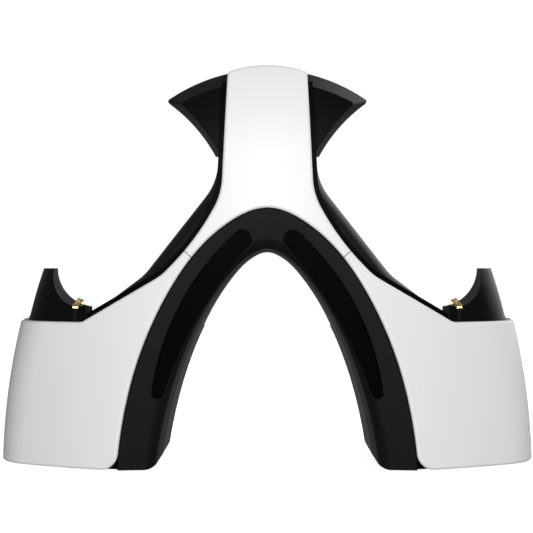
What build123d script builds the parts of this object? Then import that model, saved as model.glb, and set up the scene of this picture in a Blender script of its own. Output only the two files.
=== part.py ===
from build123d import *
import math
import os

# Free-standing charging dock for two hand controllers, with a winged rest for a headset.
# Millimetres, +Z up, the front towards -Y, the origin on the floor under the middle of the dock.

# Whole body
HEIGHT = 201.2
DEPTH = 90.0
POD_HALF_WIDTH = 139.9
SIDE_SWELL_R = 312.0
SIDE_SWELL_Z = -7.4
PLAN_R = 235.0
BEND_R = 170.0
BEND_Z = 158.0
POD_CORNER_R = 30.0
REAR_CORNER_R = 16.0
BODY_BOTTOM = 0.5
WALL = 2.4
FIT = 0.2

# White covers, in front view
LIP_Z = 74.2
COVER_BOTTOM = 0.6
COVER_WALL = 2.2
COVER_SKIRT = 6.0
COVER_EDGE_R = 1.4
COVER_BACK_Y = 17.0
COVER_CORNER_R = 9.0
COLUMN_TOP_HALF = 19.6
COLUMN_TOP_DROP = 3.4
COLUMN_CORNER_R = 2.2
NECK_BEND = (22.7, 137.3)
NECK_BEND_R = 33.0
LEG_BEND = (35.7, 114.6)
LEG_BEND_R = 125.0
HIP_BEND = (52.4, 97.7)
HIP_BEND_R = 28.0
LIP_START = 93.3
LIP_BEND_R = 6.0
SEAM_AT = (39.2, 108.25)
SEAM_ANGLE = 42.0
SEAM_GAP = 0.3

# Black frame that carries the covers
STRIP = 2.4
STRIP_SETBACK = 2.8
FRAME_BACK_Y = 2.0
FRAME_TOP = 193.4

# Arch: the front ridge, the throat at the back, and the wall's section between them
ARCH_HEIGHT = 130.9
ARCH_HALF_SPAN = 75.9
THROAT_HEIGHT = 109.3
THROAT_HALF_SPAN = 55.8
ARCH_LEAN = 0.095
ARCH_SETBACK = 0.8
TRIM_WALL = 2.6
TRIM_FLANGE = 2.5
TRIM_RECESS = 1.2
TRIM_GAP = 0.5
KNEE_IN = 19.0
KNEE_DEPTH = 3.2
KNEE_R = 6.5
THROAT_IN = 20.5
THROAT_DEPTH = 62.0
TRIM_DEPTH = 39.0
TOE_R = 9.0
TOE_PAST = 3.0
FOOT_DROP = 8.0
RIDGE_STEPS = 16

# Share of the half span and of the height at each point of the two arch curves, from foot to crown
RIDGE_SHAPE = ((0.964, 0.137), (0.856, 0.406), (0.667, 0.659), (0.445, 0.846), (0.208, 0.960), (0.0, 1.0))
THROAT_SHAPE = ((0.941, 0.131), (0.797, 0.421), (0.568, 0.698), (0.325, 0.884), (0.106, 0.984), (0.0, 1.0))

# Light windows in the trim
SLOT_OUTER = ((15.5, 118.8), (43.2, 83.3), (57.4, 39.5))
SLOT_INNER = ((51.9, 38.2), (34.6, 76.6), (8.0, 114.0))
SLOT_FOOT_END = (54.9, 36.2)
SLOT_CROWN_END = (9.5, 119.0)
WINDOW_DEPTH = 6.9
WINDOW_THICK = 1.6
SLOT_RIM = 1.6
SLOT_DEPTH = 8.7
LIGHT_BOARD = 1.2
LIGHT_BOARD_IN = 15.6

# Rear housing, in front and side view
NECK_HALF = 24.6
NECK_TOP = 158.0
SHOULDER_TOP = 144.8
SHOULDER_TOP_R = 29.0
SHOULDER_LOW = (62.0, 97.8)
SHOULDER_LOW_R = 30.0
SHOULDER_SLOPE = 0.7286
SHOULDER_ROUND = 8.0
NECK_REAR_Y = -8.0
REAR_BEND_LOW_Z = 58.0
REAR_BEND_HIGH_Z = 138.0
REAR_BEND_LOW_R = 34.0
REAR_BEND_HIGH_R = 44.0
FRAME_RIM = 3.0

# Headset rest: its outline at the flare's back, the smaller one at its front, and the depths
WING_TIP = (51.4, 186.2)
WING_CROWN = 202.6
WING_WAIST = (37.0, 173.4)
WING_NECK = 26.4
WING_FACE_TIP = (38.5, 181.7)
WING_FACE_CROWN = 190.6
WING_FACE_WAIST = (32.4, 173.1)
WING_FACE_NECK = 22.7
WING_TIP_R = 1.2
WING_FRONT_Y = -40.0
WING_FLARE = 26.0
WING_BACK = 8.0
WING_BACK_R = 3.5

# Controller cradles
CRADLE_INNER = 91.0
CRADLE_DECK = 2.0
CRADLE_SEAT_Z = 70.0
CRADLE_INSET = 3.5
CRADLE_BACK_Y = 3.0
HORN_TOP = 101.2
SADDLE_FRONT_Y = -16.3
SADDLE_FRONT = (94.6, 96.5, 14.7)
SADDLE_BACK = (89.4, 101.1, 19.7)

# Contacts that cross the saddle
CONTACT_COUNT = 3
CONTACT_MIDDLE_X = 97.0
CONTACT_PITCH = 1.0
CONTACT_WIDTH = 0.7
CONTACT_THICK = 0.5
CONTACT_FRONT_RISE = 0.2
CONTACT_BACK_RISE = 2.0
CONTACT_LIP = 0.9
CONTACT_GROOVE = 0.4
CHARGE_BOARD = (18.0, 18.0, 1.6)
CHARGE_BOARD_AT = (102.0, 8.0)

# Bottoms, feet and boards
BASE_THICK = 3.0
FOOT_R = 6.0
FOOT_SINK = 1.4
FOOT_X = 98.0
FOOT_FRONT_Y = -1.0
FOOT_REAR_Y = 31.0
BOARD_SIZE = (32.0, 27.0, 1.6)
BOARD_AT = (97.0, 28.0)
BOARD_STAND = 4.0
POST_R = 2.5
PORT_WIDTH = 9.0
PORT_HEIGHT = 3.3
PORT_LENGTH = 7.4
PORT_WALL = 0.4
PORT_FLUSH = 0.4

# Screws and their bosses
BOSS_R = 3.5
PILOT_R = 1.3
SCREW_R = 1.25
SCREW_HOLE_R = 1.6
HEAD_R = 2.7
HEAD_HEIGHT = 1.8
HEAD_HOLE_R = 3.1
BOSS_BITE = 0.4
BASE_HEAD_SINK = 2.0
BASE_BOSS_TOP = 22.0
BASE_SCREW_LENGTH = 10.0
BASE_SCREW_X = (118.0, 76.0)
INNER_SCREW = (73.0, 12.0)
RIB = 2.0
POST_OUTER_R = 4.6
POST_FLOOR = 3.0
LEG_SCREWS = ((78.0, 45.0), (100.0, 26.0))
LEG_POST_Y = 14.0
NECK_SCREW_Z = 147.0
REST_SCREW_Z = 178.0
NECK_POST_Y = -22.0
REAR_SCREW_LENGTH = 12.0

FRONT_Y = -DEPTH / 2
REAR_Y = DEPTH / 2
AXIS_Y = FRONT_Y + PLAN_R
FRAME_SEAT = COVER_SKIRT + FIT / 2
HOUSING_SEAT = COVER_SKIRT + WALL + FIT
STEP_Y = COVER_BACK_Y + FIT
REACH = 400.0
SIDES = (("left", -1), ("right", 1))


def closed_face(*edges):
    """A flat face from edges that already meet end to end."""
    return make_face(Wire(list(edges)))


def prism(region, y_front=-REACH / 2, y_back=REACH / 2):
    """A front-view region pushed along Y."""
    placed = Plane.XZ.offset(-y_front) * region
    return extrude(placed, amount=y_back - y_front, dir=(0, 1, 0))


def side_prism(region):
    """A side-view region, drawn as Y and Z, pushed along X to both sides."""
    return extrude(Plane.YZ * region, amount=REACH / 2, both=True)


def block(x_range, y_range, z_range):
    """A plain box between the given limits."""
    size = [high - low for low, high in (x_range, y_range, z_range)]
    centre = [(high + low) / 2 for low, high in (x_range, y_range, z_range)]
    return Pos(*centre) * Box(*size)


def behind(y):
    """All space behind a given Y."""
    return block((-REACH, REACH), (y, REACH), (-REACH, REACH))


def above(z):
    """All space above a given Z."""
    return block((-REACH, REACH), (-REACH, REACH), (z, REACH))


def beside(sign, x):
    """All space further out than x on one side."""
    low, high = sorted((sign * x, sign * REACH))
    return block((low, high), (-REACH, REACH), (-REACH, REACH))


def rod(radius, start, end):
    """A round bar between two points."""
    start = Vector(*start)
    along = Vector(*end) - start
    return extrude(Plane(start, z_dir=along) * Circle(radius), amount=along.length)


def other_side(shape):
    """The same shape on the other side of the dock."""
    return mirror(shape, Plane.YZ)


def front_drum(inset):
    """All that lies behind the front face moved back by inset: upright, then bent back near the top."""
    radius = PLAN_R - inset
    bend = BEND_R - inset
    top = HEIGHT + 20
    turn = math.asin((top - BEND_Z) / bend)
    rim = (radius - bend * (1 - math.cos(turn)), top)
    foot = -40.0
    profile = closed_face(
        Line((0, foot), (radius, foot)),
        Line((radius, foot), (radius, BEND_Z)),
        CenterArc((radius - bend, BEND_Z), bend, 0, math.degrees(turn)),
        Line(rim, (0, top)),
        Line((0, top), (0, foot)),
    )
    return Pos(0, AXIS_Y, 0) * revolve(Plane.XZ * profile, Axis.Z)


def upright_corners(body):
    """The long upright edges at the four outer corners."""
    return [e for e in body.edges() if e.bounding_box().size.Z > HEIGHT / 2 and abs(e.center().X) > HEIGHT / 4]


def envelope(inset):
    """The whole body moved in by inset: curved front, swelling sides and rounded upright corners."""
    radius = SIDE_SWELL_R - inset
    centre_x = POD_HALF_WIDTH - SIDE_SWELL_R
    top = HEIGHT + 10
    turn = math.asin((top - SIDE_SWELL_Z) / radius)
    half_bottom = POD_HALF_WIDTH - inset
    half_top = centre_x + radius * math.cos(turn)
    degrees = math.degrees(turn)
    region = closed_face(
        CenterArc((centre_x, SIDE_SWELL_Z), radius, 0, degrees),
        Line((half_top, top), (-half_top, top)),
        CenterArc((-centre_x, SIDE_SWELL_Z), radius, 180 - degrees, degrees),
        Line((-half_bottom, SIDE_SWELL_Z), (half_bottom, SIDE_SWELL_Z)),
    )
    back_y = REAR_Y - inset
    body = prism(region, FRONT_Y - 20, back_y) & front_drum(inset)
    body = fillet([e for e in upright_corners(body) if e.center().Y < back_y - 1], POD_CORNER_R - inset)
    return fillet([e for e in upright_corners(body) if e.center().Y > back_y - 1], REAR_CORNER_R - inset)


def stepped(front_inset, rear_inset, step_y):
    """The body with one inset in front of step_y and another behind it."""
    return envelope(front_inset) + (envelope(rear_inset) & behind(step_y))


def mirrored(points):
    """The same points on the other side, in the opposite order."""
    return [(-x, z) for x, z in reversed(points)]


def arch_points(share):
    """Points of an arch curve: share 0 is the front ridge, share 1 the throat at the back."""
    foot = (1 - share) * ARCH_HALF_SPAN + share * THROAT_HALF_SPAN
    left = [(-foot, -FOOT_DROP)]
    for ridge, throat in zip(RIDGE_SHAPE, THROAT_SHAPE):
        x = (1 - share) * ridge[0] * ARCH_HALF_SPAN + share * throat[0] * THROAT_HALF_SPAN
        z = (1 - share) * ridge[1] * ARCH_HEIGHT + share * throat[1] * THROAT_HEIGHT
        left.append((-x, z))
    return left + mirrored(left[:-1])


def ridge_region(inset=0.0):
    """The space under the arch's front ridge, in front view."""
    curve = Spline(*arch_points(0))
    points = []
    for i in range(RIDGE_STEPS + 1):
        share = i / RIDGE_STEPS
        along = curve.tangent_at(share)
        point = curve.position_at(share) + Vector(along.Y, -along.X, 0) * inset
        points.append((point.X, point.Y))
    return closed_face(Spline(*points), Line(points[-1], points[0]))


def ridge_y(z):
    """The ridge lies in a plane that leans forward towards the crown."""
    return FRONT_Y + ARCH_SETBACK + ARCH_LEAN * (ARCH_HEIGHT - z)


def behind_ridge(depth):
    """All space further back than depth behind the ridge's plane."""
    low, high = -REACH / 2, REACH
    corners = [(ridge_y(low) + depth, low), (REACH, low), (REACH, high), (ridge_y(high) + depth, high)]
    return side_prism(make_face(Polyline(*corners, close=True)))


def funnel_section(grow):
    """Start, knee and end of the arch wall's section, moved out of the opening by grow."""
    slope = math.atan2(KNEE_DEPTH - TRIM_RECESS, KNEE_IN)
    draft = math.atan2(THROAT_DEPTH - KNEE_DEPTH, THROAT_IN - KNEE_IN)
    half_turn = (draft - slope) / 2
    reach = grow / math.cos(half_turn)
    mean = slope + half_turn
    knee = (KNEE_IN - reach * math.sin(mean), KNEE_DEPTH + reach * math.cos(mean))
    start = (knee[0] - (knee[1] - TRIM_RECESS) / math.tan(slope), TRIM_RECESS)
    end_depth = DEPTH * 1.3
    end = (knee[0] + (end_depth - knee[1]) / math.tan(draft), end_depth)
    return start, knee, end


def toe_region(grow):
    """The bite that rounds the foot's lower inner corner on the left, in front view."""
    radius = TOE_R - grow
    centre = (-THROAT_HALF_SPAN + TOE_PAST - TOE_R, BODY_BOTTOM + TOE_R)
    low = -FOOT_DROP
    inner = -THROAT_HALF_SPAN + TOE_R
    return closed_face(
        CenterArc(centre, radius, -90, 90),
        Line((centre[0] + radius, centre[1]), (inner, centre[1])),
        Line((inner, centre[1]), (inner, low)),
        Line((inner, low), (centre[0], low)),
        Line((centre[0], low), (centre[0], centre[1] - radius)),
    )


def throat_tool(grow):
    """The space inside the arch from front to back, with its walls moved out by grow."""
    section = funnel_section(grow)
    faces = []
    for inwards, depth in section:
        points = [(x, ridge_y(z) + depth, z) for x, z in arch_points(inwards / THROAT_IN)]
        faces.append(closed_face(Spline(*points), Line(points[-1], points[0])))
    body = loft(faces, ruled=True)
    knee_depth = section[1][1]
    knee = []
    for edge in body.edges():
        middle = edge.position_at(0.5)
        if edge.length > ARCH_HEIGHT and abs(middle.Y - ridge_y(middle.Z) - knee_depth) < 0.01:
            knee.append(edge)
    body = fillet(knee, KNEE_R - grow)
    toe = prism(toe_region(grow))
    return body + toe + other_side(toe)


def outer_region(grow=0.0):
    """Front view of the white covers' outer edge, with the arch still filled."""
    shoulder = HEIGHT - COLUMN_TOP_DROP
    far = REACH / 2
    side = FilletPolyline(
        (-COLUMN_TOP_HALF, shoulder),
        (-NECK_BEND[0], NECK_BEND[1]),
        (-LEG_BEND[0], LEG_BEND[1]),
        (-HIP_BEND[0], HIP_BEND[1]),
        (-LIP_START, LIP_Z),
        (-far, LIP_Z),
        radius=(NECK_BEND_R, LEG_BEND_R, HIP_BEND_R, LIP_BEND_R),
    )
    crown = ThreePointArc((-COLUMN_TOP_HALF, shoulder), (0, HEIGHT), (COLUMN_TOP_HALF, shoulder))
    bottom = Polyline((-far, LIP_Z), (-far, COVER_BOTTOM), (far, COVER_BOTTOM), (far, LIP_Z))
    region = make_face(crown.edges() + side.edges() + other_side(side).edges() + bottom.edges())
    corners = [v for v in region.vertices() if abs(v.Y - shoulder) < 0.01]
    region = fillet(corners, COLUMN_CORNER_R)
    return offset(region, grow) if grow else region


def below_seam(gap):
    """The front-view space of the left pod cover, on the far side of its seam with the column cover."""
    turn = math.radians(SEAM_ANGLE)
    size = REACH / 2
    shift = (size + gap) / 2
    centre_x = -SEAM_AT[0] - shift * math.sin(turn)
    centre_z = SEAM_AT[1] - shift * math.cos(turn)
    return Pos(centre_x, centre_z) * Rot(0, 0, -SEAM_ANGLE) * Rectangle(size, size)


def rim_edges(body, region):
    """Edges of a cover's front that lie on the outline of the whole mask."""
    outline = region.edges()
    rim = []
    for edge in body.edges():
        middle = edge.position_at(0.5)
        along = edge.tangent_at(0.5)
        flat_point = Vertex(middle.X, middle.Z, 0)
        on_outline = min(flat_point.distance_to(e) for e in outline) < 0.01
        on_side = abs(middle.X) > POD_HALF_WIDTH - POD_CORNER_R
        at_back = abs(middle.Y - COVER_BACK_Y) < 0.01 and abs(along.Y) < 0.01
        if on_outline and not at_back and (abs(along.Y) < 0.95 or on_side):
            rim.append(edge)
    return rim


def mask_prism(inset):
    """The three covers' common front-view shape, moved in by inset and pushed back to the covers' rear edge."""
    region = outer_region(-inset) - ridge_region(-inset)
    solid = prism(region, y_back=COVER_BACK_Y + inset)
    bottom = COVER_BOTTOM + inset
    foot_corners = [
        e for e in solid.edges()
        if abs(e.tangent_at(0.5).Y) > 0.99
        and abs(e.center().Z - bottom) < 0.01
        and abs(e.center().X) < POD_HALF_WIDTH - POD_CORNER_R
    ]
    return fillet(foot_corners, COVER_CORNER_R - inset)


def make_covers():
    """The white column cover and the left pod cover, as thin shells with a skirt round their edges."""
    solid = mask_prism(0)
    front_face = Plane.XZ.to_local_coords(solid.faces().sort_by(Axis.Y)[0])
    outline = Pos(0, 0, -front_face.center().Z) * make_face(front_face.outer_wire())
    solid = solid & envelope(0)
    solid = fillet(rim_edges(solid, outline), COVER_EDGE_R)
    pocket = mask_prism(COVER_WALL) & envelope(COVER_WALL)
    shell = solid - envelope(COVER_SKIRT) - pocket
    left_gap = prism(below_seam(-SEAM_GAP))
    left = shell & prism(below_seam(SEAM_GAP)) & beside(-1, 0)
    column = shell - left_gap - other_side(left_gap)
    return column, left


def rear_screw_posts():
    """Place of each rear screw in front view, and the Y where its post meets the frame's boss."""
    posts = [(0, NECK_SCREW_Z, NECK_POST_Y), (0, REST_SCREW_Z, NECK_POST_Y)]
    for x, z in LEG_SCREWS:
        posts.append((-x, z, LEG_POST_Y))
        posts.append((x, z, LEG_POST_Y))
    return posts


def add_rear_post(body, post, back_y):
    """A counterbored post for one rear screw, from back_y forward to the frame's boss."""
    x, z, end_y = post
    body = body + rod(POST_OUTER_R, (x, end_y, z), (x, back_y, z))
    body = body - rod(HEAD_HOLE_R, (x, end_y + POST_FLOOR, z), (x, REACH / 2, z))
    return body - rod(SCREW_HOLE_R, (x, end_y - 1, z), (x, REACH / 2, z))


def screw(start, end):
    """A screw with a domed head, from the seat under its head to its tip."""
    start = Vector(*start)
    along = (Vector(*end) - start).normalized()
    head = extrude(Plane(start, z_dir=-along) * Circle(HEAD_R), amount=HEAD_HEIGHT)
    head = fillet(head.edges().sort_by(Axis(start, -along))[-1], HEAD_HEIGHT / 2)
    return head + rod(SCREW_R, start, end)


def make_frame():
    """Carrier behind the covers: a tray whose rim shows as a thin strip round their outer edge."""
    body = (prism(outer_region(STRIP)) & envelope(STRIP_SETBACK) & above(BODY_BOTTOM)) - behind(FRAME_BACK_Y)
    tray = prism(outer_region(FIT)) - envelope(FRAME_SEAT)
    body = body - envelope(COVER_SKIRT + WALL) - tray - above(FRAME_TOP)
    body = body - prism(ridge_region(TRIM_FLANGE + FIT)) - (prism(ridge_region()) - envelope(FRAME_SEAT))
    for sign in (-1, 1):
        body = body - (beside(sign, CRADLE_INNER) & above(LIP_Z - COVER_WALL - FIT))
    solid_front = front_drum(FRAME_SEAT + WALL / 2)
    for x, z, end_y in rear_screw_posts():
        boss = rod(BOSS_R, (x, FRONT_Y, z), (x, end_y - FIT, z)) & solid_front
        pilot = rod(PILOT_R, (x, end_y - REAR_SCREW_LENGTH, z), (x, end_y, z))
        body = (body + boss) - pilot
    return body


def slot_region(grow):
    """The crescent slot of the left window, in front view."""
    outer = [(-x, z) for x, z in SLOT_OUTER]
    inner = [(-x, z) for x, z in SLOT_INNER]
    foot_end = (-SLOT_FOOT_END[0], SLOT_FOOT_END[1])
    crown_end = (-SLOT_CROWN_END[0], SLOT_CROWN_END[1])
    region = closed_face(
        ThreePointArc(*outer),
        ThreePointArc(outer[-1], foot_end, inner[0]),
        ThreePointArc(*inner),
        ThreePointArc(inner[-1], crown_end, outer[0]),
    )
    return offset(region, grow) if grow else region


def make_trim(tool, wall_tool):
    """Front half of the arch's lining, with a flange that sits on the frame, and its left window and lamps."""
    inside = prism(ridge_region(TRIM_GAP))
    flange = (inside - prism(ridge_region(TRIM_FLANGE))) & behind_ridge(TRIM_RECESS)
    flange = flange - envelope(FRAME_SEAT) - behind(0)
    lining = (wall_tool & inside) - behind_ridge(TRIM_DEPTH - FIT)
    body = ((lining + flange) - tool) & above(BODY_BOTTOM) & behind_ridge(TRIM_RECESS)
    collar = (prism(slot_region(SLOT_RIM), FRONT_Y, 0) - behind_ridge(SLOT_DEPTH) - tool) & inside
    collar = collar & behind_ridge(TRIM_RECESS)
    slot = prism(slot_region(0), FRONT_Y, 0) - behind_ridge(SLOT_DEPTH)
    body = body + collar + other_side(collar)
    window = prism(slot_region(-FIT / 2), FRONT_Y, 0) & behind_ridge(WINDOW_DEPTH)
    window = window - behind_ridge(WINDOW_DEPTH + WINDOW_THICK)
    board = prism(slot_region(SLOT_RIM) - ridge_region(LIGHT_BOARD_IN), FRONT_Y, 0) & behind_ridge(SLOT_DEPTH)
    board = board - behind_ridge(SLOT_DEPTH + LIGHT_BOARD)
    return body - slot - other_side(slot), window, board


def shoulder_region(inset):
    """Front view of the rear housing's neck and legs."""
    end_x = POD_HALF_WIDTH - POD_CORNER_R
    end_z = SHOULDER_LOW[1] - SHOULDER_SLOPE * (end_x - SHOULDER_LOW[0])
    side = FilletPolyline(
        (-NECK_HALF, NECK_TOP),
        (-NECK_HALF, SHOULDER_TOP),
        (-SHOULDER_LOW[0], SHOULDER_LOW[1]),
        (-end_x, end_z),
        radius=(SHOULDER_TOP_R, SHOULDER_LOW_R),
    )
    low = end_z / 2
    rest = Polyline((-end_x, end_z), (-end_x, low), (end_x, low), (end_x, end_z))
    top = Line((-NECK_HALF, NECK_TOP), (NECK_HALF, NECK_TOP))
    region = make_face(side.edges() + other_side(side).edges() + rest.edges() + top.edges())
    return offset(region, -inset) if inset else region


def rear_profile(inset):
    """All space in front of the rear housing's back, which leans forward from the pods to the neck."""
    back = REAR_Y - inset
    neck = NECK_REAR_Y - inset
    line = FilletPolyline(
        (back, -REACH / 4),
        (back, REAR_BEND_LOW_Z),
        (neck, REAR_BEND_HIGH_Z),
        (neck, REACH),
        radius=(REAR_BEND_LOW_R - inset, REAR_BEND_HIGH_R + inset),
    )
    front = -REACH / 2
    rest = Polyline((neck, REACH), (front, REACH), (front, -REACH / 4), (back, -REACH / 4))
    return side_prism(make_face(line.edges() + rest.edges()))


def shoulders(inset):
    """Neck and legs of the rear housing, moved in by inset, with rounded front and back edges."""
    region = shoulder_region(inset)
    body = prism(region) & front_drum(HOUSING_SEAT + inset) & rear_profile(inset)
    outline = region.edges()
    radius = PLAN_R - HOUSING_SEAT - inset
    end_x = POD_HALF_WIDTH - POD_CORNER_R - inset
    front = []
    for edge in body.edges():
        middle = edge.position_at(0.5)
        flat_point = Vertex(middle.X, middle.Z, 0)
        on_outline = min(flat_point.distance_to(e) for e in outline) < 0.01
        on_flank = NECK_HALF - inset - 0.01 < abs(middle.X) < end_x - 0.01 and middle.Z > LIP_Z / 2 + inset
        on_front = abs(math.hypot(middle.X, middle.Y - AXIS_Y) - radius) < 0.01
        if on_outline and on_flank and on_front and abs(edge.tangent_at(0.5).Y) < 0.9:
            front.append(edge)
    return fillet(front, SHOULDER_ROUND - inset)


def make_housing(tool, wall_tool):
    """Rear shell of neck, legs and pods, open in front, below, and above the pods."""
    pod_slab = block((-REACH, REACH), (-REACH, REACH), (BODY_BOTTOM, CRADLE_SEAT_Z))
    pods = pod_slab & stepped(HOUSING_SEAT, 0, STEP_Y)
    hollow = block((-REACH, REACH), (-REACH, REACH), (-FOOT_DROP, CRADLE_SEAT_Z))
    deck = block((-CRADLE_INNER, CRADLE_INNER), (-REACH, REACH), (CRADLE_SEAT_Z - WALL, CRADLE_SEAT_Z))
    hollow = (hollow - deck) & stepped(HOUSING_SEAT + WALL, WALL, STEP_Y + WALL)
    body = (shoulders(0) & above(BODY_BOTTOM)) + pods
    body = body - (shoulders(WALL) - wall_tool) - (hollow - wall_tool)
    mouth = prism(outer_region(-FRAME_RIM)) - front_drum(HOUSING_SEAT + WALL)
    body = body - mouth - tool - (prism(ridge_region()) - behind_ridge(TRIM_RECESS + FIT))
    body = body - (throat_tool(TRIM_WALL + FIT) - behind_ridge(TRIM_DEPTH))
    for sign in (-1, 1):
        body = body - (beside(sign, CRADLE_INNER) & above(CRADLE_SEAT_Z))
    seat = BODY_BOTTOM + BASE_THICK
    inner_x, inner_y = INNER_SCREW
    rib = block((-inner_x, -THROAT_HALF_SPAN), (inner_y - RIB / 2, inner_y + RIB / 2), (seat + FIT, BASE_BOSS_TOP))
    rib = rib - wall_tool
    body = body + rib + other_side(rib)
    for x, y in base_screw_places():
        for sign in (-1, 1):
            body = body + rod(BOSS_R, (sign * x, y, seat), (sign * x, y, BASE_BOSS_TOP))
            body = body - rod(PILOT_R, (sign * x, y, seat - 1), (sign * x, y, seat + BASE_SCREW_LENGTH))
    for post in rear_screw_posts():
        if post[1] < NECK_TOP:
            back_y = REAR_Y - WALL / 2 if post[0] else NECK_REAR_Y - WALL / 2
            body = add_rear_post(body, post, back_y)
    port = Pos(BOARD_AT[0], 0, port_z()) * Rot(90, 0, 0) * extrude(port_outline(FIT), amount=REACH, both=True)
    return body - (port & behind(REAR_Y - 2 * WALL))


def base_screw_places():
    """Places of the screws that hold one bottom, for the right side."""
    rear_y = REAR_Y - WALL - BOSS_R + BOSS_BITE
    return [(x, rear_y) for x in BASE_SCREW_X] + [INNER_SCREW]


def port_z():
    """Height of the middle of the power inlet."""
    return BODY_BOTTOM + BASE_THICK + BOARD_STAND + BOARD_SIZE[2] + PORT_HEIGHT / 2


def port_outline(grow):
    """Rounded outline of the power inlet."""
    return SlotOverall(PORT_WIDTH + 2 * grow, PORT_HEIGHT + 2 * grow)


def wing_region(tip, crown, waist, neck, inset=0.0):
    """Front view of the headset rest: one long arc on top and a hollow curve down to the neck each side."""
    base = NECK_TOP + FIT
    region = closed_face(
        ThreePointArc((-tip[0], tip[1]), (0, crown), tip),
        ThreePointArc(tip, waist, (neck, base)),
        Line((neck, base), (-neck, base)),
        ThreePointArc((-neck, base), (-waist[0], waist[1]), (-tip[0], tip[1])),
    )
    region = fillet([v for v in region.vertices() if v.Y > base + 1], WING_TIP_R)
    return offset(region, -inset) if inset else region


def wing_body(inset):
    """Flared body of the headset rest, moved in by inset."""
    flare_y = WING_FRONT_Y + WING_FLARE
    face = wing_region(WING_FACE_TIP, WING_FACE_CROWN, WING_FACE_WAIST, WING_FACE_NECK, inset)
    back = wing_region(WING_TIP, WING_CROWN, WING_WAIST, WING_NECK, inset)
    flare = loft([Plane.XZ.offset(-WING_FRONT_Y) * face, Plane.XZ.offset(-flare_y) * back], ruled=True)
    return flare, prism(back, flare_y, flare_y + WING_BACK - inset)


def make_rest():
    """Hollow winged rest on the neck, open in front where the column's frame closes it."""
    flare, back = wing_body(0)
    back_y = WING_FRONT_Y + WING_FLARE + WING_BACK
    rear_edges = [e for e in back.edges() if abs(e.center().Y - back_y) < 0.01]
    body = (flare + fillet(rear_edges, WING_BACK_R)) & front_drum(HOUSING_SEAT)
    flare_in, back_in = wing_body(WALL)
    body = body - ((flare_in + back_in) & front_drum(HOUSING_SEAT + WALL))
    body = body - (prism(outer_region(-FRAME_RIM)) - front_drum(HOUSING_SEAT + WALL) - above(WING_FACE_CROWN - WALL))
    for post in rear_screw_posts():
        if post[1] > NECK_TOP:
            body = add_rear_post(body, post, back_y - WALL / 2)
    return body


def saddle_circle(y):
    """Centre and radius of the left saddle's round section at a given y: it widens and rises to the back."""
    share = (y - SADDLE_FRONT_Y) / (CRADLE_BACK_Y - SADDLE_FRONT_Y)
    x, z, radius = [(1 - share) * front + share * back for front, back in zip(SADDLE_FRONT, SADDLE_BACK)]
    return -x, z, radius


def saddle_z(x, y):
    """Height of the saddle's floor at a place on the left cradle."""
    centre_x, centre_z, radius = saddle_circle(y)
    return centre_z - math.sqrt(radius ** 2 - (x - centre_x) ** 2)


def cradle_front_y(x):
    """Front of the left cradle's upright wall at a given x."""
    return AXIS_Y - math.sqrt((PLAN_R - CRADLE_INSET) ** 2 - x ** 2)


def make_contact(x):
    """One bent leaf that crosses the left saddle at x: a lip in front, a raised bridge, a leg to the board."""
    front_y = cradle_front_y(x)
    back_y = CRADLE_BACK_Y
    front_z = saddle_z(x, front_y)
    back_z = saddle_z(x, back_y)
    thick = CONTACT_THICK
    end_z = front_z - CONTACT_LIP
    inner = FilletPolyline(
        (front_y, end_z),
        (front_y, front_z + CONTACT_FRONT_RISE),
        (back_y, back_z + CONTACT_BACK_RISE),
        (back_y, CRADLE_SEAT_Z),
        radius=thick,
    )
    outer = FilletPolyline(
        (front_y - thick, end_z),
        (front_y - thick, front_z + CONTACT_FRONT_RISE + thick),
        (back_y + thick, back_z + CONTACT_BACK_RISE + thick),
        (back_y + thick, CRADLE_SEAT_Z),
        radius=2 * thick,
    )
    ends = (
        Line((front_y, end_z), (front_y - thick, end_z)),
        Line((back_y, CRADLE_SEAT_Z), (back_y + thick, CRADLE_SEAT_Z)),
    )
    face = make_face(inner.edges() + outer.edges() + ends[0].edges() + ends[1].edges())
    return extrude(Plane.YZ.offset(x) * face, amount=CONTACT_WIDTH / 2, both=True)


def make_cradle(contacts, groove_x):
    """Left saddle: a deck over the pod and an upright wall with a round, widening trough and a horn."""
    outer = beside(-1, CRADLE_INNER + FIT)
    deck_z = LIP_Z + FIT
    plate = outer & block((-REACH, 0), (-REACH, REACH), (CRADLE_SEAT_Z, deck_z))
    plate = plate & stepped(HOUSING_SEAT, 0, STEP_Y)
    shape = envelope(CRADLE_INSET)
    deck = outer & block((-REACH, 0), (-REACH, REACH), (deck_z, deck_z + CRADLE_DECK)) & shape
    wall = outer & block((-REACH, 0), (-REACH, CRADLE_BACK_Y), (deck_z, HORN_TOP)) & shape
    ends = []
    for y in (FRONT_Y, CRADLE_BACK_Y + CRADLE_DECK):
        x, z, radius = saddle_circle(y)
        ends.append(Plane.XZ.offset(-y) * Pos(x, z) * Circle(radius))
    body = plate + deck + (wall - loft(ends, ruled=True))
    lip = prism(outer_region(FIT), FRONT_Y - 1, 0) - envelope(COVER_SKIRT + FIT)
    body = body - (lip & beside(-1, 0))
    for contact in contacts:
        body = body - contact
    groove = CONTACT_GROOVE
    for x in groove_x:
        front_y = cradle_front_y(x)
        body = body - block((x - groove / 2, x + groove / 2), (front_y - 1, front_y + groove), (deck_z, HORN_TOP))
    return body


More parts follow.
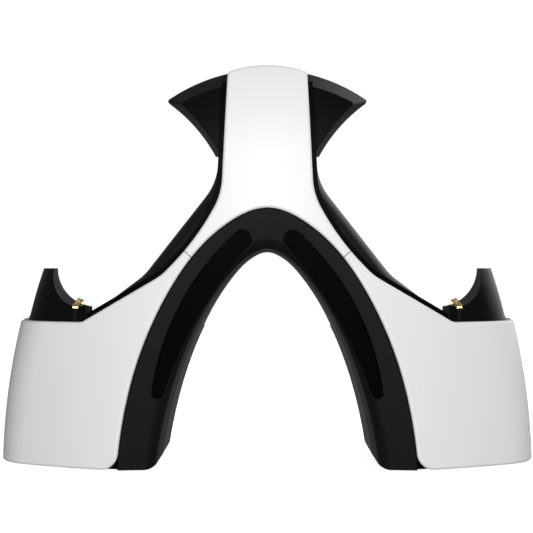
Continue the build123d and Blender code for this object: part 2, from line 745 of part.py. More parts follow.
def make_base(sign):
    """Bottom of one pod, with pockets for the feet and holes for the screws."""
    top = BODY_BOTTOM + BASE_THICK
    slab = block((-REACH, REACH), (-REACH, REACH), (BODY_BOTTOM, top)) & beside(sign, THROAT_HALF_SPAN)
    body = slab & stepped(HOUSING_SEAT + WALL + FIT, WALL + FIT, STEP_Y + WALL + FIT)
    body = body - throat_tool(TRIM_WALL + 2 * FIT)
    for y in (FOOT_FRONT_Y, FOOT_REAR_Y):
        body = body - rod(FOOT_R + FIT / 2, (sign * FOOT_X, y, 0), (sign * FOOT_X, y, BODY_BOTTOM + FOOT_SINK))
    for x, y in base_screw_places():
        body = body - rod(SCREW_HOLE_R, (sign * x, y, 0), (sign * x, y, top + 1))
        body = body - rod(HEAD_HOLE_R, (sign * x, y, 0), (sign * x, y, BODY_BOTTOM + BASE_HEAD_SINK))
    return body


def make_foot(sign, y):
    """A round rubber foot in its pocket."""
    body = rod(FOOT_R, (sign * FOOT_X, y, 0), (sign * FOOT_X, y, BODY_BOTTOM + FOOT_SINK))
    return fillet(body.edges().sort_by(Axis.Z)[0], BODY_BOTTOM / 2)


tool = throat_tool(0)
wall_tool = throat_tool(TRIM_WALL)
nodes = {}
nodes["column_cover"], left_cover = make_covers()
nodes["front_frame"] = make_frame()
nodes["arch_trim"], left_window, left_lamps = make_trim(tool, wall_tool)
nodes["rear_housing"] = make_housing(tool, wall_tool)
nodes["headset_rest"] = make_rest()

contact_x = [-CONTACT_MIDDLE_X + (i - (CONTACT_COUNT - 1) / 2) * CONTACT_PITCH for i in range(CONTACT_COUNT)]
left_contacts = [make_contact(x) for x in contact_x]
groove_x = [(a + b) / 2 for a, b in zip(contact_x, contact_x[1:])]
left_cradle = make_cradle(left_contacts, groove_x)
board_x, board_y, board_z = CHARGE_BOARD
left_board = Pos(-CHARGE_BOARD_AT[0], CHARGE_BOARD_AT[1], CRADLE_SEAT_Z - board_z / 2) * Box(*CHARGE_BOARD)

left_set = {
    "pod_cover": left_cover,
    "light_window": left_window,
    "light_board": left_lamps,
    "cradle": left_cradle,
    "charging_board": left_board,
}
for number, contact in enumerate(left_contacts, 1):
    left_set[f"contact_{number}"] = contact
for name, shape in left_set.items():
    nodes[f"left_{name}"] = shape
    nodes[f"right_{name}"] = other_side(shape)

for side, sign in SIDES:
    nodes[f"{side}_base_plate"] = make_base(sign)
    nodes[f"{side}_front_foot"] = make_foot(sign, FOOT_FRONT_Y)
    nodes[f"{side}_rear_foot"] = make_foot(sign, FOOT_REAR_Y)

# Power board on four posts of the right bottom, and its inlet through the rear wall
base_top = BODY_BOTTOM + BASE_THICK
board_low = base_top + BOARD_STAND
board_top = board_low + BOARD_SIZE[2]
nodes["main_board"] = Pos(BOARD_AT[0], BOARD_AT[1], (board_low + board_top) / 2) * Box(*BOARD_SIZE)
for x_side in (-1, 1):
    for y_side in (-1, 1):
        x = BOARD_AT[0] + x_side * (BOARD_SIZE[0] / 2 - POST_R)
        y = BOARD_AT[1] + y_side * (BOARD_SIZE[1] / 2 - POST_R)
        nodes["right_base_plate"] += rod(POST_R, (x, y, base_top - 0.5), (x, y, board_low))
port_plane = Plane(origin=(BOARD_AT[0], REAR_Y - PORT_FLUSH, port_z()), x_dir=(1, 0, 0), z_dir=(0, -1, 0))
socket = extrude(port_plane * port_outline(0), amount=PORT_LENGTH)
socket = socket - extrude(port_plane * port_outline(-PORT_WALL), amount=PORT_LENGTH - PORT_WALL)
tongue_box = Box(PORT_WIDTH * 0.74, PORT_WALL * 1.75, PORT_LENGTH - PORT_WALL * 2)
tongue = port_plane * Pos(0, 0, PORT_LENGTH / 2 + PORT_WALL) * tongue_box
nodes["usb_c_socket"] = socket + tongue

base_screws = []
head_z = BODY_BOTTOM + BASE_HEAD_SINK
for x, y in base_screw_places():
    for side, sign in SIDES:
        base_screws.append(screw((sign * x, y, head_z), (sign * x, y, head_z + BASE_SCREW_LENGTH)))
nodes["base_screws"] = Compound(base_screws)
rear_screws = []
for x, z, end_y in rear_screw_posts():
    seat_y = end_y + POST_FLOOR
    rear_screws.append(screw((x, seat_y, z), (x, seat_y - REAR_SCREW_LENGTH, z)))
nodes["housing_screws"] = Compound(rear_screws)

os.makedirs("parts", exist_ok=True)
for name, shape in nodes.items():
    export_step(shape, f"parts/{name}.step")
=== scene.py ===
"""Looks of an arched charging dock for hand controllers: finishes, small fittings, light and camera."""
import math

import bmesh
import bpy
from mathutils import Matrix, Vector


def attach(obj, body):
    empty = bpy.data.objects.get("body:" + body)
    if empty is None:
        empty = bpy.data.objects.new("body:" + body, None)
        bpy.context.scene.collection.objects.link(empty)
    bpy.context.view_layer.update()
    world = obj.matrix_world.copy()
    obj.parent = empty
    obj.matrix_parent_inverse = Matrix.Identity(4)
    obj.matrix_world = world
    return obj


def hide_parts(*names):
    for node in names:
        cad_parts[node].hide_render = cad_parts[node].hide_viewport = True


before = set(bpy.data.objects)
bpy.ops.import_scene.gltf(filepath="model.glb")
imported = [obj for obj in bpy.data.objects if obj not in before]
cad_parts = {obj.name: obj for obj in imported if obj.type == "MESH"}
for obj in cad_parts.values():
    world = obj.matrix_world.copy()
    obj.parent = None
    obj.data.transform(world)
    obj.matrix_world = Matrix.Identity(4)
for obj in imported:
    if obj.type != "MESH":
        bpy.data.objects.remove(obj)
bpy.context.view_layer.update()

bl_info = {
    "name": "Controller charging dock",
    "version": (1, 0, 0),
    "blender": (4, 5, 0),
    "location": "View3D > Sidebar > Dock",
    "description": "Finishes and small fittings of an arched charging dock with a headset rest",
    "category": "Object",
}

# Places of the screw heads, in metres: the middle of each seat
REAR_SCREW_SEATS = (
    (0.0, -0.019, 0.147),
    (0.0, -0.019, 0.178),
    (-0.078, 0.017, 0.045),
    (0.078, 0.017, 0.045),
    (-0.100, 0.017, 0.026),
    (0.100, 0.017, 0.026),
)
BASE_SCREW_Z = 0.0025
BASE_SCREW_PLACES = ((0.118, 0.0395), (0.076, 0.0395), (0.073, 0.012))

# Stretch of the arch trim's wall over the crown, in metres, and the wall's fall from front to rear
CROWN_HALF_WIDTH = 0.0125
CROWN_FRONT_Y = -0.03405
CROWN_REAR_Y = -0.006
CROWN_LOW_Z = 0.098
RIM_LOW_Z = 0.050
CROWN_STEP = 0.0025
CROWN_FALL = 0.0275
CROWN_ROUNDS = 5
MERGE_REACH = 0.000002

# How far a face has to look to the rear, or up or down, to count as the rear edge or as the wall beside it
REAR_FACING = 0.8
RIM_FACING = 0.2
WALL_FACING = 0.5

# Where the two lights stand, what they look at, and the floor's half width, in metres
LIGHT_TARGET = (0.0, 0.0, 0.1)
FRONT_LIGHT_PLACE = (0.0, -0.85, 0.12)
FRONT_LIGHT_SIZE = (0.35, 0.35)
RIGHT_LIGHT_PLACE = (0.78, 0.50, 0.62)
RIGHT_LIGHT_SIZE = (1.2, 1.25)
FLOOR_HALF_WIDTH = 6.0

# The photograph's frame and the camera that took it
IMAGE_SIZE = 533
FOCAL_PIXELS = 1443.0
SENSOR_WIDTH = 36.0


class FinishSettings(bpy.types.PropertyGroup):
    """Colours and textures of the dock's surfaces."""

    white: bpy.props.FloatVectorProperty(
        name="White", description="Colour of the front covers", subtype="COLOR", size=3,
        min=0.0, max=1.0, default=(0.86, 0.86, 0.86),
    )
    white_roughness: bpy.props.FloatProperty(
        name="White roughness", description="Roughness of the front covers", subtype="FACTOR",
        min=0.0, max=1.0, default=0.42,
    )
    black: bpy.props.FloatVectorProperty(
        name="Black", description="Colour of the black mouldings", subtype="COLOR", size=3,
        min=0.0, max=1.0, default=(0.0030, 0.0030, 0.0033),
    )
    black_roughness: bpy.props.FloatProperty(
        name="Black roughness", description="Roughness of the black mouldings", subtype="FACTOR",
        min=0.0, max=1.0, default=0.40,
    )
    smoke: bpy.props.FloatVectorProperty(
        name="Smoke", description="Colour of the light windows", subtype="COLOR", size=3,
        min=0.0, max=1.0, default=(0.0004, 0.0004, 0.0005),
    )
    gold: bpy.props.FloatVectorProperty(
        name="Gold", description="Colour of the contacts", subtype="COLOR", size=3,
        min=0.0, max=1.0, default=(0.86, 0.62, 0.25),
    )
    rubber: bpy.props.FloatVectorProperty(
        name="Rubber", description="Colour of the feet", subtype="COLOR", size=3,
        min=0.0, max=1.0, default=(0.018, 0.018, 0.018),
    )
    board: bpy.props.FloatVectorProperty(
        name="Board", description="Colour of the circuit boards", subtype="COLOR", size=3,
        min=0.0, max=1.0, default=(0.01, 0.09, 0.035),
    )
    steel: bpy.props.FloatVectorProperty(
        name="Steel", description="Colour of the screws", subtype="COLOR", size=3,
        min=0.0, max=1.0, default=(0.22, 0.22, 0.23),
    )
    inlet: bpy.props.FloatVectorProperty(
        name="Inlet", description="Colour of the power inlet's shell", subtype="COLOR", size=3,
        min=0.0, max=1.0, default=(0.62, 0.62, 0.64),
    )
    floor: bpy.props.FloatVectorProperty(
        name="Floor", description="Colour of the pale floor", subtype="COLOR", size=3,
        min=0.0, max=1.0, default=(0.9, 0.9, 0.9),
    )


class ScrewSettings(bpy.types.PropertyGroup):
    """Sizes of the screw heads."""

    radius: bpy.props.FloatProperty(
        name="Head radius", description="Radius of a screw's head", unit="LENGTH", default=0.0027,
    )
    height: bpy.props.FloatProperty(
        name="Head height", description="Height of a screw's head", unit="LENGTH", default=0.0018,
    )
    recess_width: bpy.props.FloatProperty(
        name="Recess width", description="Width of each arm of the cross recess", unit="LENGTH",
        default=0.0007,
    )
    recess_length: bpy.props.FloatProperty(
        name="Recess length", description="Length of each arm of the cross recess", unit="LENGTH",
        default=0.0030,
    )
    recess_depth: bpy.props.FloatProperty(
        name="Recess depth", description="Depth of the cross recess", unit="LENGTH", default=0.0010,
    )


class StageSettings(bpy.types.PropertyGroup):
    """Camera place and light levels."""

    camera_y: bpy.props.FloatProperty(
        name="Camera distance", description="Camera's place in front of the dock", unit="LENGTH",
        default=-0.749,
    )
    camera_z: bpy.props.FloatProperty(
        name="Camera height", description="Camera's height above the floor", unit="LENGTH", default=0.1021,
    )
    camera_x: bpy.props.FloatProperty(
        name="Camera side", description="Camera's place to the side", unit="LENGTH", default=-0.00045,
    )
    key_power: bpy.props.FloatProperty(
        name="Front light", description="Power of the light behind the camera", unit="POWER", default=6.3,
    )
    right_power: bpy.props.FloatProperty(
        name="Right light", description="Power of the wide light on the right", unit="POWER", default=7.0,
    )
    ambient: bpy.props.FloatProperty(
        name="Ambient", description="Strength of the light from all round", min=0.0, default=0.21,
    )
    floor_glow: bpy.props.FloatProperty(
        name="Floor glow", description="Light given off by the lit floor sheet", min=0.0, default=0.85,
    )


def value_range(tree, label, source, low, high):
    """Turn a 0 to 1 value into one between low and high."""
    node = tree.nodes.new("ShaderNodeMapRange")
    node.label = label
    node.inputs["To Min"].default_value = low
    node.inputs["To Max"].default_value = high
    tree.links.new(source, node.inputs["Value"])
    return node.outputs["Result"]


def surface_group():
    """Shader group for moulded surfaces: fine grain, slow mottling and a little handling polish."""
    group = bpy.data.node_groups.new("Moulded surface", "ShaderNodeTree")
    face = group.interface
    grain_scale = face.new_socket(name="Grain Scale", in_out="INPUT", socket_type="NodeSocketFloat")
    grain_scale.default_value = 2500.0
    mottle_scale = face.new_socket(name="Mottle Scale", in_out="INPUT", socket_type="NodeSocketFloat")
    mottle_scale.default_value = 30.0
    face.new_socket(name="Grain", in_out="OUTPUT", socket_type="NodeSocketFloat")
    face.new_socket(name="Mottle", in_out="OUTPUT", socket_type="NodeSocketFloat")
    face.new_socket(name="Polish", in_out="OUTPUT", socket_type="NodeSocketFloat")

    entry = group.nodes.new("NodeGroupInput")
    leave = group.nodes.new("NodeGroupOutput")
    place = group.nodes.new("ShaderNodeTexCoord")

    grain = group.nodes.new("ShaderNodeTexNoise")
    grain.label = "Spark-eroded grain"
    grain.inputs["Detail"].default_value = 3.0
    grain.inputs["Roughness"].default_value = 0.6
    group.links.new(place.outputs["Object"], grain.inputs["Vector"])
    group.links.new(entry.outputs["Grain Scale"], grain.inputs["Scale"])

    mottle = group.nodes.new("ShaderNodeTexNoise")
    mottle.label = "Flow mottling"
    mottle.inputs["Detail"].default_value = 4.0
    mottle.inputs["Distortion"].default_value = 0.4
    group.links.new(place.outputs["Object"], mottle.inputs["Vector"])
    group.links.new(entry.outputs["Mottle Scale"], mottle.inputs["Scale"])

    polish = group.nodes.new("ShaderNodeTexNoise")
    polish.label = "Handling polish"
    polish.inputs["Scale"].default_value = 90.0
    polish.inputs["Detail"].default_value = 6.0
    polish.inputs["Roughness"].default_value = 0.7
    group.links.new(place.outputs["Object"], polish.inputs["Vector"])

    group.links.new(grain.outputs["Fac"], leave.inputs["Grain"])
    group.links.new(mottle.outputs["Fac"], leave.inputs["Mottle"])
    group.links.new(polish.outputs["Fac"], leave.inputs["Polish"])
    return group


def shade(colour, factor):
    """A colour made lighter or darker, with full alpha."""
    return tuple(min(1.0, channel * factor) for channel in colour) + (1.0,)


def finish(name, colour, roughness, spread=0.06, tone=0.04, grain_scale=2500.0, bump=0.05,
           bump_height=0.00003, metallic=0.0, edge_radius=0.0, specular=0.5):
    """A moulded finish: colour and roughness that vary a little, fine grain, and softened edges."""
    material = bpy.data.materials.new(name)
    material.use_nodes = True
    tree = material.node_tree
    shader = tree.nodes["Principled BSDF"]
    shader.inputs["Metallic"].default_value = metallic
    shader.inputs["Specular IOR Level"].default_value = specular
    surface = tree.nodes.new("ShaderNodeGroup")
    surface.node_tree = bpy.data.node_groups.get("Moulded surface") or surface_group()
    surface.inputs["Grain Scale"].default_value = grain_scale

    tint = tree.nodes.new("ShaderNodeMix")
    tint.data_type = "RGBA"
    tint.inputs["A"].default_value = shade(colour, 1.0 - tone)
    tint.inputs["B"].default_value = shade(colour, 1.0 + tone)
    tree.links.new(surface.outputs["Mottle"], tint.inputs["Factor"])
    tree.links.new(tint.outputs["Result"], shader.inputs["Base Color"])

    rough = value_range(tree, "Roughness", surface.outputs["Polish"], roughness - spread, roughness + spread)
    tree.links.new(rough, shader.inputs["Roughness"])

    relief = tree.nodes.new("ShaderNodeBump")
    relief.inputs["Strength"].default_value = bump
    relief.inputs["Distance"].default_value = bump_height
    tree.links.new(surface.outputs["Grain"], relief.inputs["Height"])
    if edge_radius > 0.0:
        soft_edge = tree.nodes.new("ShaderNodeBevel")
        soft_edge.label = "Softened edge"
        soft_edge.samples = 6
        soft_edge.inputs["Radius"].default_value = edge_radius
        tree.links.new(soft_edge.outputs["Normal"], relief.inputs["Normal"])
    tree.links.new(relief.outputs["Normal"], shader.inputs["Normal"])
    return material


def dress(material, *names):
    """Give CAD nodes a finish through their own material slots."""
    for name in names:
        piece = bpy.data.objects[name]
        if not piece.material_slots:
            piece.data.materials.append(material)
        for slot in piece.material_slots:
            slot.material = material


def nodes_ending(*endings):
    """Names of the CAD nodes that end in one of the given words."""
    return [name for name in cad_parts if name.endswith(endings)]


class DOCK_OT_white_covers(bpy.types.Operator):
    """Finish the white front covers"""

    bl_idname = "dock.white_covers"
    bl_label = "White covers"

    def execute(self, context):
        look = context.scene.dock_finish
        white = finish("White gloss moulding", look.white, look.white_roughness, spread=0.03, tone=0.006,
                       grain_scale=4000.0, bump=0.02, edge_radius=0.0004)
        dress(white, *nodes_ending("_cover"))
        return {"FINISHED"}


class DOCK_OT_black_mouldings(bpy.types.Operator):
    """Finish the black frame, housing, rest, cradles and bottoms"""

    bl_idname = "dock.black_mouldings"
    bl_label = "Black mouldings"

    def execute(self, context):
        look = context.scene.dock_finish
        satin = look.black_roughness
        shell = finish("Black shell", look.black, satin, edge_radius=0.0008, bump=0.08, specular=0.35)
        rest = finish("Black rest", look.black, satin, edge_radius=0.0008, bump=0.08, specular=0.06)
        saddle = finish("Black saddle", look.black, satin - 0.04, edge_radius=0.0006, specular=0.10)
        # The carrier strip is the frame's own black made darker still: painted shade for the narrow gap
        # between the white covers and the housing
        strip = finish("Black carrier strip darkened as painted shade", shade(look.black, 0.6)[:3], satin + 0.06, edge_radius=0.0004,
                       specular=0.03)
        bottom = finish("Black matt bottom", look.black, satin + 0.2, bump=0.15, grain_scale=1500.0)
        dress(shell, "rear_housing")
        dress(rest, "headset_rest")
        dress(saddle, *nodes_ending("_cradle"))
        dress(strip, "front_frame")
        dress(bottom, *nodes_ending("_base_plate"))
        return {"FINISHED"}


def crown_rim(work, side):
    """Rear edge of the trim's wall over the crown, from left to right: side -1 is inside, 1 is outside."""
    rim = []
    for vert in work.verts:
        on_rear = any(face.normal.y > REAR_FACING for face in vert.link_faces)
        on_wall = any(face.normal.z * side > RIM_FACING for face in vert.link_faces)
        if on_rear and on_wall and vert.co.y > CROWN_REAR_Y and vert.co.z > RIM_LOW_Z:
            rim.append(vert.co.copy())
    if len(rim) < 2:
        raise RuntimeError("the trim's rear edge wasn't found over the crown")
    return sorted(rim, key=lambda point: point.x)


def wall_height(rim, x, y):
    """Height of the trim's wall at a place: it runs straight to the rear edge, with a steady fall."""
    edge = rim[0] if x < rim[0].x else rim[-1]
    for left, right in zip(rim, rim[1:]):
        if left.x <= x < right.x:
            edge = left.lerp(right, (x - left.x) / (right.x - left.x))
            break
    return edge.z + CROWN_FALL * (edge.y - y)


def crown_faces(work, side):
    """Faces of the trim's wall over the crown, on one side of the wall."""
    faces = []
    for face in work.faces:
        middle = face.calc_center_median()
        over_crown = abs(middle.x) < CROWN_HALF_WIDTH and middle.z > CROWN_LOW_Z
        behind_rim = all(vert.co.y > CROWN_FRONT_Y for vert in face.verts)
        if over_crown and behind_rim and face.normal.z * side > WALL_FACING:
            faces.append(face)
    return faces


def refill_crown(work, side, normals):
    """Divide the wall's long faces over the crown, so that it follows the arch and doesn't cut across it."""
    rim = crown_rim(work, side)
    for _ in range(CROWN_ROUNDS):
        patch = set(crown_faces(work, side))
        long_edges = [edge for edge in work.edges
                      if edge.calc_length() > CROWN_STEP and all(face in patch for face in edge.link_faces)]
        if not long_edges:
            break
        made = bmesh.ops.subdivide_edges(work, edges=long_edges, cuts=1)
        for item in made["geom_inner"]:
            if isinstance(item, bmesh.types.BMVert):
                item.co.z = wall_height(rim, item.co.x, item.co.y)
        bmesh.ops.triangulate(work, faces=[face for face in work.faces if len(face.verts) > 3])
        work.normal_update()
    for face in crown_faces(work, side):
        face.smooth = True
        for loop in face.loops:
            x, y, _ = loop.vert.co
            across = wall_height(rim, x + CROWN_STEP, y) - wall_height(rim, x - CROWN_STEP, y)
            slope = across / (2.0 * CROWN_STEP)
            loop[normals] = Vector((-slope, CROWN_FALL, 1.0)).normalized() * side


class DOCK_OT_arch_trim(bpy.types.Operator):
    """Make the satin trim of the arch, with its wall filled out over the crown"""

    bl_idname = "dock.arch_trim"
    bl_label = "Arch trim"

    def execute(self, context):
        look = context.scene.dock_finish
        satin = finish("Black satin trim", shade(look.black, 2.0)[:3], look.black_roughness + 0.06,
                       edge_radius=0.0010, specular=0.08)
        # The solid's own mesh cuts across the crown, so a merged copy of it is filled out there
        solid = bpy.data.objects["arch_trim"].data
        work = bmesh.new()
        work.from_mesh(solid)
        normals = work.loops.layers.float_vector.new("moulded_normal")
        for face, polygon in zip(work.faces, solid.polygons):
            for loop, index in zip(face.loops, polygon.loop_indices):
                loop[normals] = solid.corner_normals[index].vector
        bmesh.ops.remove_doubles(work, verts=work.verts, dist=MERGE_REACH)
        work.normal_update()
        for side in (-1, 1):
            refill_crown(work, side, normals)
        mesh = bpy.data.meshes.new("arch_trim_moulding")
        work.to_mesh(mesh)
        mesh.normals_split_custom_set([loop[normals].copy() for face in work.faces for loop in face.loops])
        work.free()
        mesh.attributes.remove(mesh.attributes["moulded_normal"])
        mesh.materials.append(satin)
        moulding = bpy.data.objects.new("arch_trim_moulding", mesh)
        context.scene.collection.objects.link(moulding)
        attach(moulding, "root")
        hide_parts("arch_trim")
        return {"FINISHED"}


class DOCK_OT_light_windows(bpy.types.Operator):
    """Finish the smoked windows of the two lights"""

    bl_idname = "dock.light_windows"
    bl_label = "Light windows"

    def execute(self, context):
        look = context.scene.dock_finish
        smoke = finish("Smoked window", look.smoke, roughness=0.5, spread=0.03, bump=0.0,
                       edge_radius=0.0003, specular=0.02)
        dress(smoke, *nodes_ending("_light_window"))
        return {"FINISHED"}


class DOCK_OT_metal_parts(bpy.types.Operator):
    """Finish the contacts and the power inlet"""

    bl_idname = "dock.metal_parts"
    bl_label = "Contacts and inlet"

    def execute(self, context):
        look = context.scene.dock_finish
        gold = finish("Gold plating", look.gold, roughness=0.28, spread=0.08, tone=0.08, metallic=1.0,
                      bump=0.04)
        bright = finish("Bright steel", look.inlet, roughness=0.3, metallic=1.0, bump=0.03)
        dress(gold, *[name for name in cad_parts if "_contact_" in name])
        dress(bright, "usb_c_socket")
        return {"FINISHED"}


class DOCK_OT_feet_and_boards(bpy.types.Operator):
    """Finish the rubber feet and the circuit boards"""

    bl_idname = "dock.feet_and_boards"
    bl_label = "Feet and boards"

    def execute(self, context):
        look = context.scene.dock_finish
        rubber = finish("Foot rubber", look.rubber, roughness=0.75, bump=0.3, grain_scale=1800.0,
                        edge_radius=0.0004)
        lacquer = finish("Board lacquer", look.board, roughness=0.35, tone=0.2, bump=0.05)
        dress(rubber, *nodes_ending("_foot"))
        dress(lacquer, *nodes_ending("_board"))
        return {"FINISHED"}


def group_input(tree, name, kind, default):
    """A named input of a geometry tree."""
    socket = tree.interface.new_socket(name=name, in_out="INPUT", socket_type=kind)
    socket.default_value = default
    return socket


def screw_tree(sizes, material):
    """Geometry tree that sets a cross-recessed screw head on each point, along the point's axis."""
    tree = bpy.data.node_groups.new("Screw heads", "GeometryNodeTree")
    tree.interface.new_socket(name="Geometry", in_out="INPUT", socket_type="NodeSocketGeometry")
    group_input(tree, "Head Radius", "NodeSocketFloat", sizes.radius)
    group_input(tree, "Head Height", "NodeSocketFloat", sizes.height)
    group_input(tree, "Recess Width", "NodeSocketFloat", sizes.recess_width)
    group_input(tree, "Recess Length", "NodeSocketFloat", sizes.recess_length)
    group_input(tree, "Recess Depth", "NodeSocketFloat", sizes.recess_depth)
    tree.interface.new_socket(name="Geometry", in_out="OUTPUT", socket_type="NodeSocketGeometry")
    links = tree.links
    entry = tree.nodes.new("NodeGroupInput")
    leave = tree.nodes.new("NodeGroupOutput")

    # Domed head: a squashed ball, half sunk in its seat
    ball = tree.nodes.new("GeometryNodeMeshUVSphere")
    ball.inputs["Segments"].default_value = 32
    ball.inputs["Rings"].default_value = 16
    links.new(entry.outputs["Head Radius"], ball.inputs["Radius"])
    flatten = tree.nodes.new("GeometryNodeTransform")
    ratio = tree.nodes.new("ShaderNodeMath")
    ratio.operation = "DIVIDE"
    links.new(entry.outputs["Head Height"], ratio.inputs[0])
    links.new(entry.outputs["Head Radius"], ratio.inputs[1])
    squash = tree.nodes.new("ShaderNodeCombineXYZ")
    squash.inputs["X"].default_value = 1.0
    squash.inputs["Y"].default_value = 1.0
    links.new(ratio.outputs[0], squash.inputs["Z"])
    links.new(ball.outputs["Mesh"], flatten.inputs["Geometry"])
    links.new(squash.outputs["Vector"], flatten.inputs["Scale"])

    # Cross recess: two thin bars cut into the dome
    top = tree.nodes.new("ShaderNodeCombineXYZ")
    links.new(entry.outputs["Head Height"], top.inputs["Z"])
    bars = tree.nodes.new("GeometryNodeJoinGeometry")
    for first, second in (("X", "Y"), ("Y", "X")):
        size = tree.nodes.new("ShaderNodeCombineXYZ")
        double = tree.nodes.new("ShaderNodeMath")
        double.operation = "MULTIPLY"
        double.inputs[1].default_value = 2.0
        links.new(entry.outputs["Recess Depth"], double.inputs[0])
        links.new(entry.outputs["Recess Length"], size.inputs[first])
        links.new(entry.outputs["Recess Width"], size.inputs[second])
        links.new(double.outputs[0], size.inputs["Z"])
        bar = tree.nodes.new("GeometryNodeMeshCube")
        links.new(size.outputs["Vector"], bar.inputs["Size"])
        lift = tree.nodes.new("GeometryNodeTransform")
        links.new(bar.outputs["Mesh"], lift.inputs["Geometry"])
        links.new(top.outputs["Vector"], lift.inputs["Translation"])
        links.new(lift.outputs["Geometry"], bars.inputs["Geometry"])
    carve = tree.nodes.new("GeometryNodeMeshBoolean")
    carve.operation = "DIFFERENCE"
    links.new(flatten.outputs["Geometry"], carve.inputs["Mesh 1"])
    links.new(bars.outputs["Geometry"], carve.inputs["Mesh 2"])

    # One head on each point, turned along the point's own axis
    axis = tree.nodes.new("GeometryNodeInputNamedAttribute")
    axis.data_type = "FLOAT_VECTOR"
    axis.inputs["Name"].default_value = "axis"
    turn = tree.nodes.new("FunctionNodeAlignRotationToVector")
    turn.axis = "Z"
    links.new(axis.outputs["Attribute"], turn.inputs["Vector"])
    points = tree.nodes.new("GeometryNodeMeshToPoints")
    links.new(entry.outputs["Geometry"], points.inputs["Mesh"])
    scatter = tree.nodes.new("GeometryNodeInstanceOnPoints")
    links.new(points.outputs["Points"], scatter.inputs["Points"])
    links.new(carve.outputs["Mesh"], scatter.inputs["Instance"])
    links.new(turn.outputs["Rotation"], scatter.inputs["Rotation"])
    realize = tree.nodes.new("GeometryNodeRealizeInstances")
    links.new(scatter.outputs["Instances"], realize.inputs["Geometry"])
    paint = tree.nodes.new("GeometryNodeSetMaterial")
    paint.inputs["Material"].default_value = material
    links.new(realize.outputs["Geometry"], paint.inputs["Geometry"])
    links.new(paint.outputs["Geometry"], leave.inputs["Geometry"])
    return tree


class DOCK_OT_screws(bpy.types.Operator):
    """Make the cross-recessed heads of the rear and bottom screws"""

    bl_idname = "dock.screws"
    bl_label = "Screws"

    def execute(self, context):
        look = context.scene.dock_finish
        steel = finish("Blackened steel", look.steel, roughness=0.38, spread=0.08, metallic=1.0, bump=0.05)
        places = []
        axes = []
        for seat in REAR_SCREW_SEATS:
            places.append(seat)
            axes.append((0.0, 1.0, 0.0))
        for x, y in BASE_SCREW_PLACES:
            for side in (-1, 1):
                places.append((side * x, y, BASE_SCREW_Z))
                axes.append((0.0, 0.0, -1.0))
        seats = bpy.data.meshes.new("screw_seats")
        seats.from_pydata(places, [], [])
        attribute = seats.attributes.new("axis", "FLOAT_VECTOR", "POINT")
        for index, axis in enumerate(axes):
            attribute.data[index].vector = axis
        maker = bpy.data.objects.new("screw_seats", seats)
        context.scene.collection.objects.link(maker)
        modifier = maker.modifiers.new("Screw heads", "NODES")
        modifier.node_group = screw_tree(context.scene.dock_screws, steel)
        evaluated = maker.evaluated_get(context.evaluated_depsgraph_get())
        mesh = bpy.data.meshes.new_from_object(evaluated)
        bpy.data.objects.remove(maker)
        heads = bpy.data.objects.new("screw_heads", mesh)
        context.scene.collection.objects.link(heads)
        if not mesh.polygons:
            raise RuntimeError("the screw heads came out empty")
        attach(heads, "root")
        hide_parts("housing_screws", "base_screws")
        return {"FINISHED"}


def soft_light(scene, name, place, target, size, power):
    """A large rectangular light that looks at a point."""
    data = bpy.data.lights.new(name, "AREA")
    data.shape = "RECTANGLE"
    data.size = size[0]
    data.size_y = size[1]
    data.energy = power
    lamp = bpy.data.objects.new(name, data)
    lamp.location = place
    lamp.rotation_euler = (Vector(target) - Vector(place)).to_track_quat("-Z", "Y").to_euler()
    scene.collection.objects.link(lamp)


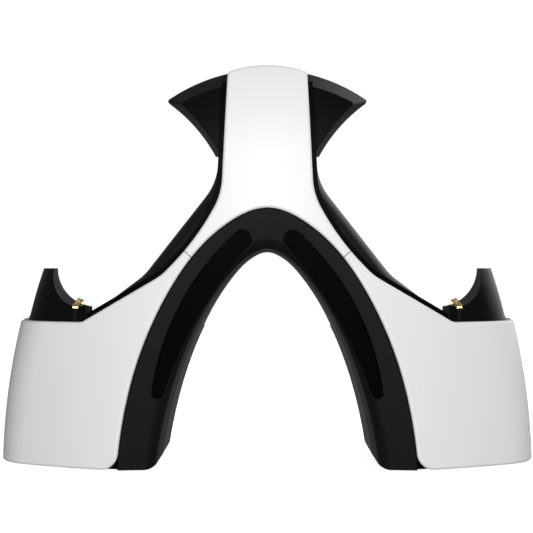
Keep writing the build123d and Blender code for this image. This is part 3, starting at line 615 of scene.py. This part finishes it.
class DOCK_OT_stage(bpy.types.Operator):
    """Set the pale floor, the soft studio light and the camera"""

    bl_idname = "dock.stage"
    bl_label = "Stage"

    def execute(self, context):
        scene = context.scene
        stage = scene.dock_stage
        self.floor(scene, stage)
        self.world(scene, stage)
        soft_light(scene, "front_light", FRONT_LIGHT_PLACE, LIGHT_TARGET, FRONT_LIGHT_SIZE, stage.key_power)
        soft_light(scene, "right_light", RIGHT_LIGHT_PLACE, LIGHT_TARGET, RIGHT_LIGHT_SIZE, stage.right_power)
        data = bpy.data.cameras.new("camera")
        data.sensor_width = SENSOR_WIDTH
        data.lens = FOCAL_PIXELS / IMAGE_SIZE * SENSOR_WIDTH
        camera = bpy.data.objects.new("camera", data)
        camera.location = (stage.camera_x, stage.camera_y, stage.camera_z)
        camera.rotation_euler = (math.radians(90.0), 0.0, 0.0)
        scene.collection.objects.link(camera)
        scene.camera = camera
        scene.view_settings.view_transform = "Standard"
        return {"FINISHED"}

    def floor(self, scene, stage):
        """A wide pale floor, lit like a studio sheet."""
        half = FLOOR_HALF_WIDTH
        mesh = bpy.data.meshes.new("floor")
        corners = [(-half, -half, 0.0), (half, -half, 0.0), (half, half, 0.0), (-half, half, 0.0)]
        mesh.from_pydata(corners, [], [(0, 1, 2, 3)])
        floor = bpy.data.objects.new("floor", mesh)
        scene.collection.objects.link(floor)
        paper = finish("Pale floor", scene.dock_finish.floor, roughness=0.6, spread=0.02, tone=0.004,
                       bump=0.0)
        shader = paper.node_tree.nodes["Principled BSDF"]
        shader.inputs["Emission Color"].default_value = (1.0, 1.0, 1.0, 1.0)
        shader.inputs["Emission Strength"].default_value = stage.floor_glow
        mesh.materials.append(paper)
        floor.visible_diffuse = False
        floor.visible_glossy = False

    def world(self, scene, stage):
        """White surround for the camera, softer light for the dock."""
        world = bpy.data.worlds.new("studio")
        world.use_nodes = True
        scene.world = world
        tree = world.node_tree
        tree.nodes.clear()
        seen = tree.nodes.new("ShaderNodeBackground")
        seen.inputs["Color"].default_value = (1.0, 1.0, 1.0, 1.0)
        glow = tree.nodes.new("ShaderNodeBackground")
        glow.inputs["Color"].default_value = (1.0, 1.0, 1.0, 1.0)
        glow.inputs["Strength"].default_value = stage.ambient
        path = tree.nodes.new("ShaderNodeLightPath")
        mix = tree.nodes.new("ShaderNodeMixShader")
        output = tree.nodes.new("ShaderNodeOutputWorld")
        tree.links.new(path.outputs["Is Camera Ray"], mix.inputs["Fac"])
        tree.links.new(glow.outputs["Background"], mix.inputs[1])
        tree.links.new(seen.outputs["Background"], mix.inputs[2])
        tree.links.new(mix.outputs["Shader"], output.inputs["Surface"])


class DOCK_PT_panel(bpy.types.Panel):
    """Steps that dress the dock"""

    bl_idname = "DOCK_PT_panel"
    bl_label = "Charging dock"
    bl_space_type = "VIEW_3D"
    bl_region_type = "UI"
    bl_category = "Dock"

    def draw(self, context):
        for step in STEPS:
            self.layout.operator(step.bl_idname)


STEPS = (
    DOCK_OT_white_covers,
    DOCK_OT_black_mouldings,
    DOCK_OT_arch_trim,
    DOCK_OT_light_windows,
    DOCK_OT_metal_parts,
    DOCK_OT_feet_and_boards,
    DOCK_OT_screws,
    DOCK_OT_stage,
)
SETTINGS = (
    ("dock_finish", FinishSettings),
    ("dock_screws", ScrewSettings),
    ("dock_stage", StageSettings),
)


def register():
    """Add the settings, the steps and the panel."""
    for name, settings in SETTINGS:
        bpy.utils.register_class(settings)
        setattr(bpy.types.Scene, name, bpy.props.PointerProperty(type=settings))
    for step in STEPS:
        bpy.utils.register_class(step)
    bpy.utils.register_class(DOCK_PT_panel)


def unregister():
    """Take them away again, in the opposite order."""
    bpy.utils.unregister_class(DOCK_PT_panel)
    for step in reversed(STEPS):
        bpy.utils.unregister_class(step)
    for name, settings in reversed(SETTINGS):
        delattr(bpy.types.Scene, name)
        bpy.utils.unregister_class(settings)


def main():
    """Dress the dock step by step."""
    register()
    bpy.ops.dock.white_covers()
    bpy.ops.dock.black_mouldings()
    bpy.ops.dock.arch_trim()
    bpy.ops.dock.light_windows()
    bpy.ops.dock.metal_parts()
    bpy.ops.dock.feet_and_boards()
    bpy.ops.dock.screws()
    bpy.ops.dock.stage()


if __name__ == "__main__":
    main()
